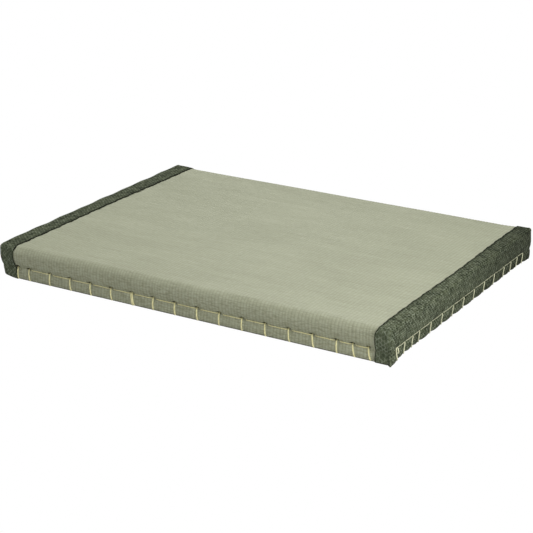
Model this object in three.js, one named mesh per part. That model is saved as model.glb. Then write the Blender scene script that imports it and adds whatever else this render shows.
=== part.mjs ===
// A thick stuffed tatami mat. X runs along the front side, Y to the back and Z up, in millimetres.
// The origin is under the middle of the mat, on the surface that it lies on.
import * as THREE from 'three';
import { mergeVertices } from 'three/addons/utils/BufferGeometryUtils.js';

// Driving dimensions
const MAT_LENGTH = 800; // over both border cloths
const MAT_DEPTH = 585; // over the rush cover
const MAT_THICKNESS = 61; // at the edges of the rush cover
const CROWN = 1.6; // how much higher the middle of the top lies

// The border cloth and how it lies on the rush
const CLOTH = 1.2;
const CLOTH_GAP = 0.3;

// Each strip's width on the top at its front end, and how much wider it is at its back end. The other columns
// are for the band that it turns round each corner: how much wider it is under the top edge and at the hem.
const STRIPS = [
  {
    name: 'border_left', end: -1, width: 36, spread: 5,
    bands: [{ side: -1, fold: -4, hem: 3 }, { side: 1, fold: 0, hem: 2 }],
  },
  {
    name: 'border_right', end: 1, width: 24.5, spread: 3,
    bands: [{ side: -1, fold: 4.5, hem: 4 }, { side: 1, fold: 0, hem: 4 }],
  },
];
const SEAM_WAVE = 1.2;
const SEAM_WAVE_LENGTH = 400;

// The rounding of the edges: large along the front and back, small where the border cloth is pulled tight
const TOP_ROUNDING = new THREE.Vector3(5, 14, 18);
const END_ROUNDING = new THREE.Vector3(5, 11, 6);
const END_REACH = { from: 18, to: 60 }; // the tight rounding holds up to here from an end and fades to here
const CORNER_ROUNDING = 5; // of the cloth, down the corners
const RUSH_CORNER_ROUNDING = 8; // of the rush under it
const FOLD_RISE = 0.6; // the border cloth is folded double next to the crease at each corner
const CREASE_DEPTH = 0.7;
const TURN_UNDER = 1.2; // how much further in the rush lies where it turns under the mat

// How far the sides lie inside their widest line, from the floor up. They are pulled in where they are sewn.
const SEWING_HEIGHT = 21;
const SIDE_PROFILE = [
  { height: 0, side: 3.2, end: 6.8 },
  { height: 3, side: 2.2, end: 6.0 },
  { height: 11, side: 2.8, end: 5.0 },
  { height: 17, side: 3.8, end: 4.6 },
  { height: SEWING_HEIGHT, side: 5.0, end: 4.8 },
  { height: 25, side: 3.4, end: 3.3 },
  { height: 32, side: 1.2, end: 1.3 },
  { height: 42, side: 0, end: 0 },
];

// The stitches: short ones near the corners and even ones between them. A row starts at its first stitch,
// measured from the middle of the mat.
const SIDE_STITCHES = { first: -360.5, startGaps: [25, 47.5], pitch: 45.2, count: 13, endGaps: [29.5, 28.5] };
const END_STITCHES = { first: -263, startGaps: [31, 29.5, 25], pitch: 44, count: 8, endGaps: [32, 29, 24] };
const SHORT_GAP = 35; // a gap up to this has no room for a line at each dent's rim
const DENT_DEPTH = 2.2;
const DENT_WIDTH = 7;
const DENT_RIM = 8.4; // where the cover is level again, on either side of a stitch
const DENT_HEIGHT = 6;

// The border cloth stands out between its stitches, and its hem rises at each of them
const PUCKER_DEPTH = 1.8;
const PUCKER_HEIGHT = 14; // above and below the middle of the hem band
const HEM_REST = 0.6;
const HEM_RISE = 2;
const HEM_RISE_WIDTH = 8;

// Where the form is sampled: across the rounding of an edge as shares of its width, and elsewhere in steps
const ROUNDING_LINES = [1, 0.8, 0.58, 0.34, 0.16, 0];
const TOP_LINES = [0.22, 0.46, 0.71, 1];
const TOP_STEPS = 4;

const RUSH_LENGTH = MAT_LENGTH - 2 * (CLOTH + CLOTH_GAP);
const halfLength = RUSH_LENGTH / 2;
const halfDepth = MAT_DEPTH / 2;
const shoulder = MAT_THICKNESS - TOP_ROUNDING.z;
const { smoothstep } = THREE.MathUtils;

const rushMaterial = new THREE.MeshStandardMaterial({ color: 0xaab090, roughness: 0.85, metalness: 0 });
const borderMaterial = new THREE.MeshStandardMaterial({ color: 0x4d5442, roughness: 0.9, metalness: 0 });

const mix = THREE.MathUtils.lerp;
const bell = (distance, width) => Math.exp(-((distance / width) ** 2));
const byPlace = (a, b) => a - b;

// The places of the stitches of one row
function stitchRow({ first, startGaps, pitch, count, endGaps }) {
  const places = [first];
  for (const gap of [...startGaps, ...Array(count).fill(pitch), ...endGaps]) {
    places.push(places[places.length - 1] + gap);
  }
  return places;
}

const sideStitches = stitchRow(SIDE_STITCHES);
const endStitches = stitchRow(END_STITCHES);

// How strongly a place along a row of stitches feels the nearest of them, from 1 at a stitch to 0
function nearStitch(place, stitches, width) {
  return Math.max(...stitches.map((stitch) => bell(place - stitch, width)));
}

// How far one kind of side lies inside its widest line at a height
function inset(height, kind) {
  const above = SIDE_PROFILE.findIndex((row) => row.height > height);
  if (above < 0) return 0;
  const low = SIDE_PROFILE[Math.max(above - 1, 0)];
  const high = SIDE_PROFILE[above];
  return THREE.MathUtils.mapLinear(Math.max(height, 0), low.height, high.height, low[kind], high[kind]);
}

// Takes a point of the plain block to the mat's form, set out by a lift, which is 0 on the rush cover
function formPoint(block, lift, cornerRounding) {
  const rise = smoothstep(block.z, SEWING_HEIGHT, MAT_THICKNESS);
  const nearEnd = 1 - smoothstep(halfLength - Math.abs(block.x), END_REACH.from, END_REACH.to);
  const radii = new THREE.Vector3().lerpVectors(TOP_ROUNDING, END_ROUNDING, nearEnd);
  radii.x = mix(cornerRounding, radii.x, rise);
  radii.y = mix(cornerRounding, radii.y, rise);
  const core = new THREE.Vector3(
    THREE.MathUtils.clamp(block.x, radii.x - halfLength, halfLength - radii.x),
    THREE.MathUtils.clamp(block.y, radii.y - halfDepth, halfDepth - radii.y),
    Math.min(block.z, MAT_THICKNESS - radii.z),
  );
  const facing = block.clone().sub(core).divide(radii).normalize();
  const point = radii.addScalar(lift).multiply(facing).add(core);
  point.x -= facing.x * inset(point.z, 'end');
  point.y -= facing.y * inset(point.z, 'side');

  const middle = (1 - (point.x / halfLength) ** 2) * (1 - (point.y / halfDepth) ** 2);
  point.z += CROWN * Math.max(middle, 0) * Math.max(facing.z, 0);
  return { point, facing, rise };
}

// Pulls the rush cover in at each stitch of the front and back side and where it turns under
function rushPoint(block) {
  const { point, facing } = formPoint(block, 0, RUSH_CORNER_ROUNDING);
  const dent = DENT_DEPTH * nearStitch(point.x, sideStitches, DENT_WIDTH);
  point.y -= facing.y * dent * bell(point.z - SEWING_HEIGHT, DENT_HEIGHT);
  if (block.z === 0) point.addScaledVector(facing, -TURN_UNDER);
  return point;
}

// How far the folded cloth at a corner stands out, by how square a point faces one side, from 0 to 1
function cornerFold(square) {
  return FOLD_RISE * 4 * square * (1 - square) - CREASE_DEPTH * (1 - square) ** 4;
}

// One face of a border cloth, which stands out between the stitches of the end. Its outer face is folded
// double beside the crease down each corner.
function borderPoint(block, lift) {
  const { point, facing, rise } = formPoint(block, lift, CORNER_ROUNDING);
  if (lift > CLOTH_GAP && Math.abs(facing.x * facing.y) > 0) {
    const fold = cornerFold(Math.abs(Math.abs(facing.x) - Math.abs(facing.y))) * (1 - rise);
    point.x += facing.x * fold;
    point.y += facing.y * fold;
  }
  const between = 1 - nearStitch(point.y, endStitches, DENT_WIDTH * 2);
  const fromCorner = (halfDepth - CORNER_ROUNDING - Math.abs(block.y)) / CORNER_ROUNDING;
  const free = THREE.MathUtils.clamp(fromCorner, 0, 1);
  const low = bell(point.z - SEWING_HEIGHT / 2, PUCKER_HEIGHT);
  point.x += facing.x * PUCKER_DEPTH * between * free * low;
  return point;
}

// The surface of a block that is cut along the given lines, as points and triangles that face out
function blockSurface(xLines, yLines, zLines) {
  const steps = [xLines.length - 1, yLines.length - 1, zLines.length - 1];
  const box = new THREE.BoxGeometry(1, 1, 1, ...steps);
  box.deleteAttribute('normal');
  box.deleteAttribute('uv');
  const merged = mergeVertices(box);
  const position = merged.getAttribute('position');
  const lineAt = (lines, share) => lines[Math.round((share + 0.5) * (lines.length - 1))];
  const points = [];
  for (let i = 0; i < position.count; i += 1) {
    const x = lineAt(xLines, position.getX(i));
    const y = lineAt(yLines, position.getY(i));
    const z = lineAt(zLines, position.getZ(i));
    points.push(new THREE.Vector3(x, y, z));
  }
  const corners = merged.getIndex();
  const triangles = [];
  for (let i = 0; i < corners.count; i += 3) {
    triangles.push([corners.getX(i), corners.getX(i + 1), corners.getX(i + 2)]);
  }
  return { points, triangles };
}

// The edges that only one triangle has, in that triangle's direction
function openEdges(triangles) {
  const open = new Map();
  for (const [a, b, c] of triangles) {
    for (const [from, to] of [[a, b], [b, c], [c, a]]) {
      if (!open.delete(`${to} ${from}`)) open.set(`${from} ${to}`, [from, to]);
    }
  }
  return [...open.values()];
}

// Numbers the corners of some triangles anew, and lists the old number of each
function renumber(triangles) {
  const used = [...new Set(triangles.flat())].sort(byPlace);
  const place = new Map(used.map((old, i) => [old, i]));
  return { used, place, kept: triangles.map((corners) => corners.map((i) => place.get(i))) };
}

function solid(name, points, triangles, material) {
  const geometry = new THREE.BufferGeometry().setFromPoints(points);
  geometry.setIndex(triangles.flat());
  geometry.computeVertexNormals();
  const mesh = new THREE.Mesh(geometry, material);
  mesh.name = name;
  return mesh;
}

// The lines across an edge's rounding, from the flat towards the outermost line
const edgeLines = (half, width) => ROUNDING_LINES.map((share) => half - share * width);
const bothWays = (lines) => [...lines.map((line) => -line).reverse(), ...lines];

// Lines along a row of stitches: at each stitch, at the rim of its dent in a long gap, and half way on
function rowLines(stitches) {
  const lines = [];
  stitches.forEach((stitch, i) => {
    lines.push(stitch);
    if (i === stitches.length - 1) return;
    const gap = stitches[i + 1] - stitch;
    lines.push(stitch + gap / 2);
    if (gap > SHORT_GAP) lines.push(stitch + DENT_RIM, stitches[i + 1] - DENT_RIM);
  });
  return lines.sort(byPlace);
}

const heightLines = [
  ...SIDE_PROFILE.map((row) => row.height),
  ...TOP_LINES.map((share) => shoulder + share * TOP_ROUNDING.z),
];

// The stuffed core in its rush cover, one filled body with a flat underside
function rushBody() {
  const xEdge = edgeLines(halfLength, TOP_ROUNDING.x);
  const yEdge = edgeLines(halfDepth, TOP_ROUNDING.y);
  const xLines = [...bothWays(xEdge), ...rowLines(sideStitches)].sort(byPlace);
  const yStep = (2 * yEdge[0]) / TOP_STEPS;
  const yMiddle = Array.from({ length: TOP_STEPS - 1 }, (_, i) => (i + 1) * yStep - yEdge[0]);
  const yLines = [...bothWays(yEdge), ...yMiddle].sort(byPlace);
  const block = blockSurface(xLines, yLines, heightLines);
  const walls = block.triangles.filter((corners) => corners.some((i) => block.points[i].z > 0));
  const points = block.points.map(rushPoint);

  const middle = points.push(new THREE.Vector3()) - 1;
  const floor = openEdges(walls).map(([from, to]) => [to, from, middle]);
  const { used, kept } = renumber([...walls, ...floor]);
  return solid('rush_body', used.map((i) => points[i]), kept, rushMaterial);
}

// The inner edge of a border strip, which wanders a little along the mat and down its front and back
function seamShift(block, strip) {
  const along = block.y / MAT_DEPTH + 0.5;
  const wave = -SEAM_WAVE * Math.cos((2 * Math.PI * block.y) / SEAM_WAVE_LENGTH);
  const band = strip.bands.find(({ side }) => side === Math.sign(block.y || 1));
  const drop = Math.abs(block.y) > halfDepth - 1 ? 1 - block.z / MAT_THICKNESS : 0;
  const widening = mix(band.fold, band.hem, smoothstep(drop, 0.35, 1));
  return strip.spread * along + wave + widening * smoothstep(drop, 0, 0.2);
}

// The hem of a border cloth hangs close to the surface and rises at the stitches
function hemHeight(block) {
  const onEnd = Math.abs(block.x) > halfLength - 1;
  return HEM_REST + (onEnd ? HEM_RISE * nearStitch(block.y, endStitches, HEM_RISE_WIDTH) : 0);
}

// A border cloth: one strip over the top, the end and round both corners, open towards the mat and underneath
function borderCloth(strip) {
  const { name, end } = strip;
  const inner = halfLength - strip.width + CLOTH + CLOTH_GAP;
  const xLines = [inner, ...edgeLines(halfLength, TOP_ROUNDING.x)].map((x) => x * end).sort(byPlace);
  const rounding = bothWays(edgeLines(halfDepth, TOP_ROUNDING.y));
  const clear = halfDepth - CORNER_ROUNDING;
  const row = endStitches.filter((y) => Math.abs(y) < clear);
  const middles = row.slice(1).map((y, i) => (y + row[i]) / 2);
  const yLines = [...rounding, ...row, ...middles].sort(byPlace);
  const block = blockSurface(xLines, yLines, heightLines);

  const atSeam = (i) => block.points[i].x === inner * end;
  const atHem = (i) => block.points[i].z === 0;
  const outside = block.triangles.filter((corners) => !corners.every(atSeam) && !corners.every(atHem));
  const { used, place, kept: front } = renumber(outside);
  const placed = used.map((old) => {
    const point = block.points[old].clone();
    if (atHem(old)) point.z = hemHeight(block.points[old]);
    if (atSeam(old)) point.x -= end * seamShift(block.points[old], strip);
    return point;
  });

  const count = placed.length;
  const faceAt = (lift) => placed.map((point) => borderPoint(point, lift));
  const points = [...faceAt(CLOTH_GAP + CLOTH), ...faceAt(CLOTH_GAP)];
  const back = front.map(([a, b, c]) => [a + count, c + count, b + count]);
  const rims = openEdges(outside).flatMap(([from, to]) => {
    const a = place.get(from);
    const b = place.get(to);
    return [[b, a, a + count], [b, a + count, b + count]];
  });
  return solid(name, points, [...front, ...back, ...rims], borderMaterial);
}

const mat = new THREE.Group();
mat.add(rushBody(), ...STRIPS.map(borderCloth));

export default mat;
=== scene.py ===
"""A thick stuffed tatami mat in its rush cover, with a border cloth sewn over each short end.

X runs along the front side, Y to the back and Z up, in metres. The origin lies under the middle of the mat.
"""

import logging
import math
from contextlib import contextmanager
from dataclasses import dataclass, field
from enum import Enum
from typing import Iterable, Iterator, Sequence

import bpy
import numpy as np
from bpy.types import Material, Mesh, Node, NodeSocket as Socket, NodeTree, Object, bpy_prop_collection
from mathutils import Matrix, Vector

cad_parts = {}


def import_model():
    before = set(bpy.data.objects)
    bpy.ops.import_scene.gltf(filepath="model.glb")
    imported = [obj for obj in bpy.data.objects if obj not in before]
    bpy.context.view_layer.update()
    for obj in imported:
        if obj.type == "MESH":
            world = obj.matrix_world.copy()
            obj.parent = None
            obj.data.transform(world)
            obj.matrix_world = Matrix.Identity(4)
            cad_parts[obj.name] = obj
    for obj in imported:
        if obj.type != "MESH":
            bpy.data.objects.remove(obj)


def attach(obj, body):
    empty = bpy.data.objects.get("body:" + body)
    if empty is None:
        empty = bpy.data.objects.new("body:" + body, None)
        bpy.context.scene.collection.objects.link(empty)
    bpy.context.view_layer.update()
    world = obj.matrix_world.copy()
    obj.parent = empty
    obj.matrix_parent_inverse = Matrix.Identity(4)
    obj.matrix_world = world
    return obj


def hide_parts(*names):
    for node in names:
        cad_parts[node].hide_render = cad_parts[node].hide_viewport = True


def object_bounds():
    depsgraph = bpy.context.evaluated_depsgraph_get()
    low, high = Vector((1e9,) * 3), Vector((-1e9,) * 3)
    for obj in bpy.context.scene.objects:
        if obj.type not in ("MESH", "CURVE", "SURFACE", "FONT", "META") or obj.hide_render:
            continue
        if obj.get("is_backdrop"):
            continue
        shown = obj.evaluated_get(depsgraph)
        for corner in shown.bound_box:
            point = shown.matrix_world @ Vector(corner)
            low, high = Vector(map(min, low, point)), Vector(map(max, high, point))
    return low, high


LOG = logging.getLogger("tatami_mat")
MOST_SLICES = 100  # that one subdivide can make of an edge
SLICE_GAP = 1e-4  # less than lies between two slices of a unit cube
LEAST_STEP = 2e-4  # between two lines that a piece is cut along, in metres
SHARP_EDGE = 60.0  # degrees between two faces from which their edge is shaded sharp
AT_WALL = 0.001  # a point of a plain block this near its outside lies on it
LEAST_LENGTH = 1e-9  # keeps the length that a way is divided by from being 0
MOSTLY = 0.5  # a way that goes further than this along an axis faces along it
FULL_TURN = 2 * math.pi
CLOTH_MAP = "Cloth"  # the UV map of every piece
TWIST_LENGTH = 2.2  # how far the twine's twist goes in one turn, in widths of the twine
EDGE_SHADE = 0.7  # the darkest painted shade on the lower edge that the mat stands on
FULLY_DARK = 0.4  # the share of that edge's height that is fully dark
NOISE_RANGE = (0.3, 0.7)  # holds nearly every value of a noise texture

Array = np.ndarray
Lines = tuple[Array, Array, Array]
Pair = tuple[float, float]
Triple = tuple[float, float, float]
Colour = Triple


class Side(Enum):
    """The four sides of the mat, each as the axis that it faces along and the direction on it."""

    FRONT = (1, -1)
    BACK = (1, 1)
    LEFT = (0, -1)
    RIGHT = (0, 1)

    @property
    def axis(self) -> int:
        """The axis that the side faces along."""
        return self.value[0]

    @property
    def sign(self) -> int:
        """The direction on that axis."""
        return self.value[1]


DOUBLED_STITCHES = {(Side.FRONT, 6): 1.8, (Side.RIGHT, 0): 1.5}  # how much wider they are


def bell(distance: Array, width: float) -> Array:
    """A soft bump of height 1 at a distance of 0."""
    return np.exp(-((np.asarray(distance) / width) ** 2))


def near_any(place: Array, centres: Sequence[float], width: float) -> Array:
    """How strongly each place feels the nearest of some centres, from 0 to 1."""
    place = np.asarray(place)
    return np.max([bell(place - centre, width) for centre in centres], axis=0)


def ease(place: Array, low: float, high: float) -> Array:
    """Rises softly from 0 to 1 between two places."""
    share = np.clip((np.asarray(place) - low) / (high - low), 0, 1)
    return share ** 2 * (3 - 2 * share)


def smooth_curve(place: Array, places: Sequence[float], values: Sequence[float]) -> Array:
    """Reads a smooth curve through a short table.

    Args:
        place: where to read the curve, held to the table's ends.
        places: the table's places, rising.
        values: the table's values.

    Returns:
        The curve's value at each place.
    """
    xs, ys = np.asarray(places, float), np.asarray(values, float)
    slopes = np.gradient(ys, xs)
    slopes[-1] = 0.0
    place = np.clip(place, xs[0], xs[-1])
    low = np.clip(np.searchsorted(xs, place, side="right") - 1, 0, len(xs) - 2)
    step = xs[low + 1] - xs[low]
    t = (place - xs[low]) / step
    keep, turn = (1 + 2 * t) * (1 - t) ** 2, t * (1 - t) ** 2
    reach, arrive = t ** 2 * (3 - 2 * t), t ** 2 * (t - 1)
    return keep * ys[low] + turn * step * slopes[low] + reach * ys[low + 1] + arrive * step * slopes[low + 1]


def running_total(steps: Sequence[float]) -> Array:
    """The sum of the steps up to each place, from 0."""
    return np.concatenate([[0.0], np.cumsum(steps)])


def path_lengths(path: Array) -> Array:
    """How far along a path each of its points lies."""
    return running_total(np.linalg.norm(np.diff(path, axis=0), axis=1))


def unit(ways: Array) -> Array:
    """The ways, one to a row, at a length of 1."""
    return ways / np.maximum(np.linalg.norm(ways, axis=1, keepdims=True), LEAST_LENGTH)


@dataclass(frozen=True)
class Waves:
    """A wave with a second one on it."""

    rates: Pair
    second_share: float
    second_shift: float

    def read(self, place: Array) -> Array:
        """The height of the waves at each place."""
        first, second = (place * rate for rate in self.rates)
        return np.sin(first) + self.second_share * np.sin(second + self.second_shift)


@dataclass(frozen=True)
class StitchRow:
    """A row of stitches: short steps near the corners and even ones between them."""

    first: float
    start_gaps: tuple[float, ...]
    pitch: float
    count: int
    end_gaps: tuple[float, ...]

    def places(self) -> Array:
        """The places of the stitches, measured from the middle of the side."""
        gaps = (*self.start_gaps, *[self.pitch] * self.count, *self.end_gaps)
        return self.first + running_total(gaps)


@dataclass(frozen=True)
class MatForm:
    """The form that the stuffed core gives to everything that lies on it."""

    length: float = 0.797
    depth: float = 0.585
    thickness: float = 0.061
    crown: float = 0.0016
    top_rounding: Triple = (0.005, 0.014, 0.018)
    end_rounding: Triple = (0.005, 0.011, 0.006)
    end_reach: Pair = (0.018, 0.060)
    corner_rounding: float = 0.005
    sewing_height: float = 0.021
    corner_lift: float = 0.0040
    corner_tuck: float = 0.0068
    corner_fill: float = 0.0022
    corner_reach: float = 0.022
    profile_heights: tuple[float, ...] = (0.0, 0.003, 0.011, 0.017, 0.021, 0.025, 0.032, 0.042)
    side_insets: tuple[float, ...] = (0.0032, 0.0022, 0.0028, 0.0038, 0.0050, 0.0034, 0.0012, 0.0)
    end_insets: tuple[float, ...] = (0.0068, 0.0060, 0.0050, 0.0046, 0.0048, 0.0033, 0.0013, 0.0)

    @property
    def half(self) -> Array:
        """Half of the length and of the depth."""
        return np.array([self.length / 2, self.depth / 2])

    @property
    def shoulder(self) -> float:
        """The height where the rounding of the top edge begins."""
        return self.thickness - self.top_rounding[2]

    def inset(self, height: Array, axis: int) -> Array:
        """How far a side lies inside its widest line at a height."""
        values = self.end_insets if axis == 0 else self.side_insets
        return smooth_curve(height, self.profile_heights, values)

    def place(self, block: Array, lift: Array | float) -> tuple[Array, Array, Array]:
        """Takes points of a plain block to the mat's form.

        Args:
            block: the points, one to a row.
            lift: how far each lies outside the rush cover.

        Returns:
            The placed points, the way that each faces, and the share of each one's way up to the top.
        """
        rise = ease(block[:, 2], self.sewing_height, self.thickness)
        near_end = 1 - ease(self.half[0] - np.abs(block[:, 0]), *self.end_reach)[:, None]
        radii = np.array(self.top_rounding) * (1 - near_end) + np.array(self.end_rounding) * near_end
        radii[:, :2] = self.corner_rounding + (radii[:, :2] - self.corner_rounding) * rise[:, None]
        reach = self.half - radii[:, :2]
        top = np.minimum(block[:, 2], self.thickness - radii[:, 2])
        core = np.column_stack([np.clip(block[:, :2], -reach, reach), top])
        facing = unit((block - core) / radii)
        points = core + (radii + np.reshape(lift, (-1, 1))) * facing
        for axis in (0, 1):
            points[:, axis] -= facing[:, axis] * self.inset(points[:, 2], axis)
        middle = np.prod(np.clip(1 - (points[:, :2] / self.half) ** 2, 0, 1), axis=1)
        points[:, 2] += self.crown * middle * np.maximum(facing[:, 2], 0)
        return points, facing, rise

    def lift_corners(self, points: Array) -> None:
        """Raises the bottom a little at the two left corners, and tucks it in."""
        from_corner = self.half - np.abs(points[:, :2])
        near = np.prod(bell(np.maximum(from_corner, 0), self.corner_reach), axis=1)
        near *= points[:, 0] < 0
        drop = np.clip(1 - points[:, 2] / self.shoulder, 0, 1)
        fill = self.corner_fill * bell(points[:, 2] - self.sewing_height, self.sewing_height / 2)
        points[:, 0] += (self.corner_tuck * drop - fill) * near
        points[:, 2] += self.corner_lift * near * ease(drop, 0.0, 1.0)

    def wall(self, height: Array, side: Side) -> Array:
        """How far from the middle of the mat one side's wall lies at heights below the shoulder."""
        return self.half[side.axis] - self.inset(height, side.axis)


def deselect_all() -> None:
    """Leaves nothing selected."""
    bpy.ops.object.select_all(action="DESELECT")


def make_active(piece: Object) -> None:
    """Selects one piece alone and makes it the active one."""
    deselect_all()
    piece.select_set(True)
    bpy.context.view_layer.objects.active = piece


def read_values(items: bpy_prop_collection, key: str, width: int, kind: type = float) -> Array:
    """One property of every item, one item to a row."""
    values = np.empty(len(items) * width, dtype=kind)
    items.foreach_get(key, values)
    return values.reshape(-1, width)


def read_points(mesh: Mesh) -> Array:
    """The mesh's points, one to a row."""
    return read_values(mesh.vertices, "co", 3)


def write_points(mesh: Mesh, points: Array) -> None:
    """Moves the mesh's points."""
    mesh.vertices.foreach_set("co", points.reshape(-1))
    mesh.update()


def read_edges(mesh: Mesh) -> Array:
    """The two ends of each edge."""
    return read_values(mesh.edges, "vertices", 2, np.int32)


def read_corners(mesh: Mesh, block: Array) -> tuple[Array, Array]:
    """The plain block's point at each corner of each face, and the way that the face looks."""
    numbers = read_values(mesh.loops, "vertex_index", 1, np.int32)[:, 0]
    counts = read_values(mesh.polygons, "loop_total", 1, np.int32)[:, 0]
    return block[numbers], np.repeat(face_ways(mesh), counts, axis=0)


@contextmanager
def editing(piece: Object, mode: str, chosen: Array) -> Iterator[None]:
    """Edit mode on a piece with some of its edges or faces selected.

    Args:
        piece: the piece.
        mode: EDGE or FACE.
        chosen: true for each edge or face to select.
    """
    make_active(piece)
    bpy.ops.object.mode_set(mode="EDIT")
    bpy.ops.mesh.select_mode(type=mode)
    bpy.ops.mesh.select_all(action="DESELECT")
    bpy.ops.object.mode_set(mode="OBJECT")
    parts = piece.data.edges if mode == "EDGE" else piece.data.polygons
    parts.foreach_set("select", np.asarray(chosen, dtype=bool))
    bpy.ops.object.mode_set(mode="EDIT")
    yield
    bpy.ops.object.mode_set(mode="OBJECT")


def split_edges(piece: Object, chosen: Array, count: int) -> None:
    """Splits the chosen edges of a piece into a count of equal lengths, across the faces between them."""
    if count > 1:
        with editing(piece, "EDGE", chosen):
            bpy.ops.mesh.subdivide(number_cuts=count - 1)


def cut_across(piece: Object, axis: int, count: int) -> None:
    """Cuts a unit cube into a count of slices across one axis.

    Args:
        piece: the cube, which may be cut across other axes.
        axis: the axis to cut across.
        count: how many slices it gets.
    """
    stretches = math.ceil(count / MOST_SLICES)
    fewer, longer = divmod(count, stretches)

    def uncut() -> tuple[Array, Array]:
        """Which edges still run the length of a stretch, and which lie in the longer stretches."""
        ends = read_points(piece.data)[read_edges(piece.data)][:, :, axis]
        return np.abs(np.diff(ends)[:, 0]) > 0.5 / stretches, ends.mean(axis=1) + 0.5 < longer / stretches

    split_edges(piece, uncut()[0], stretches)
    for in_longer, slices in ((True, fewer + 1), (False, fewer)):
        runs, there = uncut()
        split_edges(piece, runs & (there == in_longer), slices)


def slice_ranks(places: Array) -> Array:
    """Numbers the places by the slice line that each stands on, from the lowest up."""
    order = np.argsort(places)
    ranks = np.empty(len(places), dtype=int)
    ranks[order] = running_total(np.diff(places[order]) > SLICE_GAP)
    return ranks


def cut_block(name: str, lines: Lines) -> Object:
    """Makes a block that is cut along lines across each axis.

    Args:
        name: the piece's name.
        lines: for X, Y and Z, the places of the cuts, rising, with both ends.

    Returns:
        The block, a closed mesh.
    """
    deselect_all()
    bpy.ops.mesh.primitive_cube_add(size=1.0)
    piece = bpy.context.object
    piece.name = piece.data.name = name
    for axis, places in enumerate(lines):
        cut_across(piece, axis, len(places) - 1)
    points = read_points(piece.data)
    for axis, places in enumerate(lines):
        points[:, axis] = np.asarray(places)[slice_ranks(points[:, axis])]
    write_points(piece.data, points)
    return piece


def face_ways(mesh: Mesh) -> Array:
    """The normal of each face."""
    return read_values(mesh.polygons, "normal", 3)


def write_uv(mesh: Mesh, uv: Array) -> None:
    """Gives the mesh its one UV map, in metres of cloth."""
    layer = mesh.uv_layers[0] if mesh.uv_layers else mesh.uv_layers.new(name=CLOTH_MAP)
    layer.name = CLOTH_MAP
    layer.data.foreach_set("uv", uv.reshape(-1))


def write_masks(mesh: Mesh, **masks: Array) -> None:
    """Gives each point of the mesh values from 0 to 1, which its material reads by name."""
    for name, values in masks.items():
        attribute = mesh.attributes.new(name=name, type="FLOAT", domain="POINT")
        attribute.data.foreach_set("value", values.astype(np.float32))


def shade_by_angle(piece: Object, degrees: float) -> None:
    """Shades a piece smooth but for its sharp edges."""
    make_active(piece)
    bpy.ops.object.shade_smooth_by_angle(angle=math.radians(degrees))


def apply_modifier(piece: Object, kind: str, **settings: object) -> None:
    """Adds a modifier with its settings and applies it."""
    make_active(piece)
    modifier = piece.modifiers.new(kind.title(), kind)
    for key, value in settings.items():
        setattr(modifier, key, value)
    bpy.ops.object.modifier_apply(modifier=modifier.name)


def join_pieces(pieces: Sequence[Object], name: str) -> Object:
    """Joins some pieces into one mesh with a name."""
    deselect_all()
    for piece in pieces:
        piece.select_set(True)
    bpy.context.view_layer.objects.active = pieces[0]
    bpy.ops.object.join()
    joined = bpy.context.object
    joined.name = joined.data.name = name
    return joined


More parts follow.
